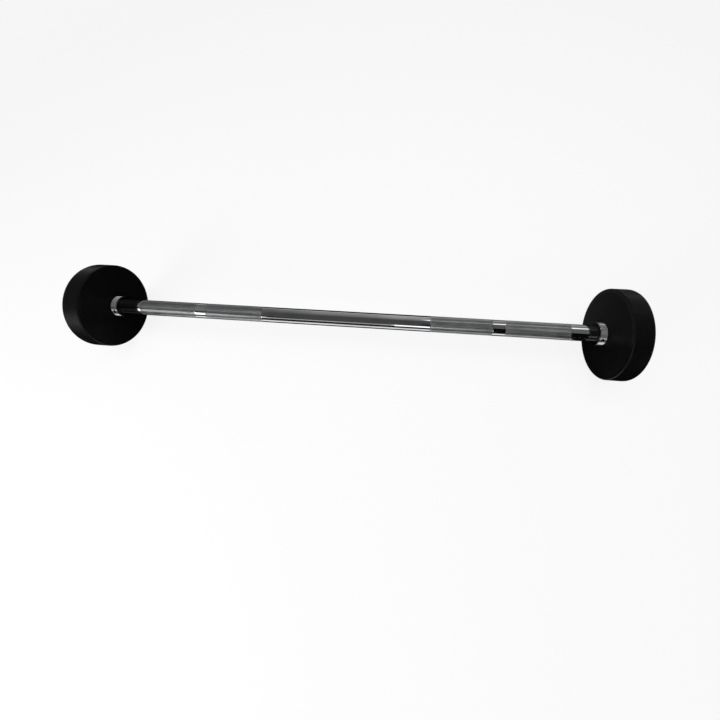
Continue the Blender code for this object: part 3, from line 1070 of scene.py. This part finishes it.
corner_vertex = np.empty(len(mesh.loops), np.int64)
mesh.loops.foreach_get("vertex_index", corner_vertex)
corners = np.empty(len(mesh.polygons), np.int64)
mesh.polygons.foreach_get("loop_total", corners)
first_corner = np.cumsum(corners) - corners
corner_face = np.repeat(np.arange(len(corners)), corners)
mean_travel = np.bincount(corner_face, travel[corner_vertex]) / corners
mean_x = np.bincount(corner_face, x[corner_vertex]) / corners
band = (np.searchsorted(BAND_EDGES, mean_travel) - 1)[corner_face]
column = (mean_x > 0)[corner_face]

face_turn = turns[corner_vertex[first_corner]][corner_face]
turn = np.where((radius < ON_AXIS)[corner_vertex], face_turn, turns[corner_vertex])
turn -= np.round(turn - face_turn)
into_band = BAND_SCALE * (travel[corner_vertex] - BAND_EDGES[band])
across = column / COLUMNS + BAND_MARGIN + into_band
upward = (band + 0.5) / BANDS + TURN_SCALE * turn
unrolled = mesh.uv_layers.new(name="OFBake")
unrolled.data.foreach_set("uv", np.column_stack((across, upward)).astype(np.float32).ravel())
print("map reaches across from", across.min().round(3), "to", across.max().round(3))
print("and upward from", upward.min().round(3), "to", upward.max().round(3))

# %% [markdown]
# ## Collars
#
# A narrow chromed ring sits against the inner face of each head and hides the joint between bar
# and rubber. It is turned from bar stock, with its corners just broken, and a small set screw
# locks it to the handle. The tool leaves shallow grooves round it. These are modelled, because
# their slopes spread the light of a lamp along the ring, where a smooth ring would show one thin
# glint. The screw's hole is drilled with a Boolean, which is how you'd drill it in the workshop.

# %% Drilling
DRILL_SIDES = 48
DRILL_LENGTH = 0.03
SLIVER = 2e-6


def drill(piece, place, direction, radius):
    """Drills a round hole from a place outwards, then forgets the drill."""
    turn = Vector(direction).to_track_quat("X", "Z").to_matrix().to_4x4()
    outline = [(0.0, 0.0), (0.0, radius), (DRILL_LENGTH, radius), (DRILL_LENGTH, 0.0)]
    points, faces = swept(outline, DRILL_SIDES, closed=False)
    bit = bpy.data.objects.new("drill_bit", solid_mesh("drill_bit", points, faces))
    bit.data.transform(Matrix.Translation(place) @ turn)
    bpy.context.scene.collection.objects.link(bit)
    boring = piece.modifiers.new("screw_hole", "BOOLEAN")
    boring.operation = "DIFFERENCE"
    boring.solver = "EXACT"
    boring.object = bit
    depsgraph = bpy.context.evaluated_depsgraph_get()
    bored = bpy.data.meshes.new_from_object(piece.evaluated_get(depsgraph))
    piece.modifiers.clear()
    shape = bmesh.new()
    shape.from_mesh(bored)
    bmesh.ops.dissolve_degenerate(shape, dist=SLIVER, edges=shape.edges)
    shape.to_mesh(bored)
    shape.free()
    piece.data = bored
    piece.data.name = piece.name
    bpy.data.objects.remove(bit)


print("drill ready")

# %% Collars
FIT = 0.0003
COLLAR_NEAR, COLLAR_FAR = ends_of("collar_ring_right")
COLLAR_RADIUS = reach_of("collar_ring_right")
COLLAR_BORE = HANDLE_RADIUS + FIT
COLLAR_SIDES = 128
NEAR_ROUND = 0.0010
EDGE_ROUND = 0.0004
TOOL_LINES = 20
POINTS_PER_LINE = 6
LINE_DEPTH = 0.00015
LINES_START = COLLAR_NEAR + 0.0011
LINES_END = COLLAR_FAR - 0.0005
SCREW_HOLE_RADIUS = 0.0023
SCREW_TILT = math.radians(52.0)
END_FACE_DEPTH = 0.0001
TURNED_SKIN = 0.0008


def collar_outline():
    """Outline of the right collar, with its tool lines as gentle waves."""
    outline = [(COLLAR_NEAR, COLLAR_BORE, EDGE_ROUND), (COLLAR_NEAR, COLLAR_RADIUS, NEAR_ROUND)]
    steps = POINTS_PER_LINE * TOOL_LINES
    for step in range(steps + 1):
        along = LINES_START + (LINES_END - LINES_START) * step / steps
        dip = LINE_DEPTH * (1 - math.cos(math.tau * step / POINTS_PER_LINE)) / 2
        outline.append((along, COLLAR_RADIUS - dip))
    outline.append((COLLAR_FAR, COLLAR_RADIUS, EDGE_ROUND))
    outline.append((COLLAR_FAR, COLLAR_BORE, EDGE_ROUND))
    return outline


for side, word in BOTH_ENDS:
    outline = [(side * along, *rest) for along, *rest in collar_outline()]
    points, faces = swept(rounded(outline), COLLAR_SIDES)
    collar = make_piece(
        f"collar_turned_{word}",
        points,
        faces,
        [collar_chrome, collar_end_chrome],
        node=f"collar_ring_{word}",
    )
    middle = (side * (COLLAR_NEAR + COLLAR_FAR) / 2, 0.0, 0.0)
    towards_screw = (0.0, -math.sin(SCREW_TILT), math.cos(SCREW_TILT))
    drill(collar, middle, towards_screw, SCREW_HOLE_RADIUS)
    collar.data.set_sharp_from_angle(angle=math.radians(SHARP_FROM_DEGREES))
    for face in collar.data.polygons:
        out = math.hypot(face.center.y, face.center.z)
        past_end = abs(face.center.x) > COLLAR_NEAR + END_FACE_DEPTH
        turned = past_end and out > COLLAR_RADIUS - TURNED_SKIN
        face.material_index = 0 if turned else 1
    print(collar.name, "faces:", len(collar.data.polygons))

# %% [markdown]
# ## Rubber jackets
#
# The rubber is moulded round the iron disc, so the jacket is really a hollow shell: an inner face
# that rises gently towards the collar, a round wall with soft rims, an outer face with a stepped
# mouth for the cap, and the cavity that the iron fills. A mould opens in two halves and leaves a
# hair-thin ridge where they meet, halfway along the wall. It is one outline, swept in 192 steps
# so that the rim looks round. All its distances start at the inner face of the head.

# %% Sizes of the jackets
HEAD_SIDES = 192
OUTER_FACE = HEAD_END - HEAD_FACE
RIM_START = 0.0047
LAND_RADIUS = 0.028
JACKET_BORE = reach_of("hub_bush_right") + FIT
CORE_START, CORE_END = ends_of("iron_core_right")
CAVITY_START = CORE_START - HEAD_FACE - FIT
CAVITY_END = CORE_END - HEAD_FACE + FIT
CAVITY_RADIUS = reach_of("iron_core_right") + FIT
CAP_RADIUS = reach_of("end_cap_right")
CAP_UNDER = 0.0331
SKIRT_RADIUS = 0.0267
CAP_SEAT = CAP_UNDER - FIT
CAP_SEAT_RADIUS = CAP_RADIUS + FIT
MOUTH_RADIUS = SKIRT_RADIUS + FIT
SEAM = (RIM_START + OUTER_FACE) / 2
SEAM_HEIGHT = 0.00003
SEAM_HALF_WIDTH = 0.0003
print("thickness of a rim in mm:", round(1000 * (OUTER_FACE - RIM_START), 1))

# %% Rubber jackets
BORE_ROUND = 0.0008
LAND_ROUND = 0.12
SLOPE_ROUND = 0.020
INNER_RIM_ROUND = 0.0062
OUTER_RIM_ROUND = 0.005
SEAM_ROUND = 0.0005
SEAT_ROUND = 0.0003
CAVITY_ROUND = 0.002
RIM_STEPS = 8

jacket_outline = [
    (0.0, JACKET_BORE, BORE_ROUND),
    (0.0, LAND_RADIUS, LAND_ROUND),
    (RIM_START, HEAD_RADIUS - OUTER_RIM_ROUND, SLOPE_ROUND),
    (RIM_START, HEAD_RADIUS, INNER_RIM_ROUND),
    (SEAM - SEAM_HALF_WIDTH, HEAD_RADIUS, SEAM_ROUND),
    (SEAM, HEAD_RADIUS + SEAM_HEIGHT, SEAM_ROUND),
    (SEAM + SEAM_HALF_WIDTH, HEAD_RADIUS, SEAM_ROUND),
    (OUTER_FACE, HEAD_RADIUS, OUTER_RIM_ROUND),
    (OUTER_FACE, CAP_SEAT_RADIUS, BORE_ROUND),
    (CAP_SEAT, CAP_SEAT_RADIUS),
    (CAP_SEAT, MOUTH_RADIUS, SEAT_ROUND),
    (CAVITY_END, MOUTH_RADIUS),
    (CAVITY_END, CAVITY_RADIUS, CAVITY_ROUND),
    (CAVITY_START, CAVITY_RADIUS, CAVITY_ROUND),
    (CAVITY_START, JACKET_BORE),
]
for side, word in BOTH_ENDS:
    outline = [(side * (HEAD_FACE + along), *rest) for along, *rest in jacket_outline]
    points, faces = swept(rounded(outline, RIM_STEPS), HEAD_SIDES)
    jacket = make_piece(
        f"jacket_moulded_{word}",
        points,
        faces,
        [jacket_rubber],
        node=f"rubber_jacket_{word}",
    )
    print(jacket.name, "faces:", len(jacket.data.polygons))

# %% [markdown]
# ## End caps
#
# A round plastic cap is pressed into the mouth of each head and hides the bolt. Its face is very
# slightly dished, with a small mark in the middle where the plastic flowed into the mould. On a
# shop's barbell this is where the weight is printed. Here it stays bare.

# %% End caps
CAP_SIDES = 128
CAP_STEPS = 5
SKIRT_END, CAP_TOP = [end - HEAD_FACE for end in ends_of("end_cap_right")]
SKIRT_BORE = 0.024
SKIRT_INNER_ROUND = 0.0003
SKIRT_OUTER_ROUND = 0.0005
CAP_EDGE_ROUND = 0.0002
CAP_RIM_ROUND = 0.0010
DISH_RADIUS = 0.0275
DISH_DEPTH = 0.0004
DISH_SLOPE = 0.0008
DISH_ROUND = 0.0006
GATE_RADIUS = 0.0014
GATE_HEIGHT = 0.0001
GATE_SLOPE = 0.0002
GATE_ROUND = 0.0002

dish = CAP_TOP - DISH_DEPTH
cap_outline = [
    (CAP_UNDER, 0.0),
    (CAP_UNDER, SKIRT_BORE),
    (SKIRT_END, SKIRT_BORE, SKIRT_INNER_ROUND),
    (SKIRT_END, SKIRT_RADIUS, SKIRT_OUTER_ROUND),
    (CAP_UNDER, SKIRT_RADIUS),
    (CAP_UNDER, CAP_RADIUS, CAP_EDGE_ROUND),
    (CAP_TOP, CAP_RADIUS, CAP_RIM_ROUND),
    (CAP_TOP, DISH_RADIUS + DISH_SLOPE, DISH_ROUND),
    (dish, DISH_RADIUS, DISH_ROUND),
    (dish, GATE_RADIUS + GATE_SLOPE, GATE_ROUND),
    (dish + GATE_HEIGHT, GATE_RADIUS, GATE_ROUND),
    (dish + GATE_HEIGHT, 0.0),
]
for side, word in BOTH_ENDS:
    outline = [(side * (HEAD_FACE + along), *rest) for along, *rest in cap_outline]
    points, faces = swept(rounded(outline, CAP_STEPS), CAP_SIDES, closed=False)
    cap = make_piece(
        f"cap_moulded_{word}",
        points,
        faces,
        [cap_plastic],
        node=f"end_cap_{word}",
    )
    print(cap.name, "faces:", len(cap.data.polygons))

# %% [markdown]
# ## Sizes
#
# Dressing must not change the size of the object. This cell prints, for each of the three sides,
# how much larger the box of the dressed model is than the box of the measured one.

# %% Sizes
dressed_low, dressed_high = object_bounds()
growth = [round(1000 * (d - c), 2) for d, c in zip(dressed_high - dressed_low, CAD_HIGH - CAD_LOW)]
print("the dressed model is larger by, in mm:", growth)
